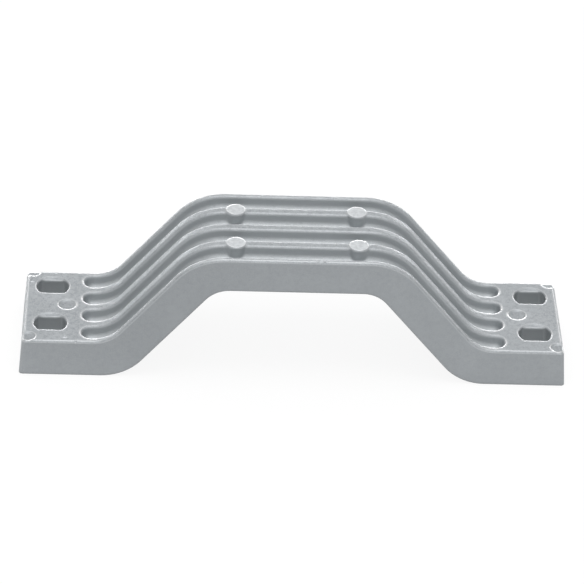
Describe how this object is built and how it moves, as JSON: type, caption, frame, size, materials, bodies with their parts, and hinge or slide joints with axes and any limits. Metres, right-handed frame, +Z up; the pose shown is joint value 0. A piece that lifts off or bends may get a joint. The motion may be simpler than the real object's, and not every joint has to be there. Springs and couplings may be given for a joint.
{
  "type": "sacrificial anode",
  "caption": "Cast hat-shaped sacrificial anode bar with slotted flat feet, sloped legs and a raised bridge grooved along its top, bolted to an outboard motor bracket.",
  "frame": {"origin": "under the middle of the bridge, in the plane that the undersides of the two feet share", "axes": "+X along the bar from the left foot to the right one, +Y across it towards the back, +Z up through the bridge"},
  "size_m": [0.217, 0.05, 0.056],
  "materials": {
    "cast_alloy": "satin, as cast"
  },
  "bodies": {
    "root": {"anode_bar": "cast_alloy"}
  },
  "joints": []
}
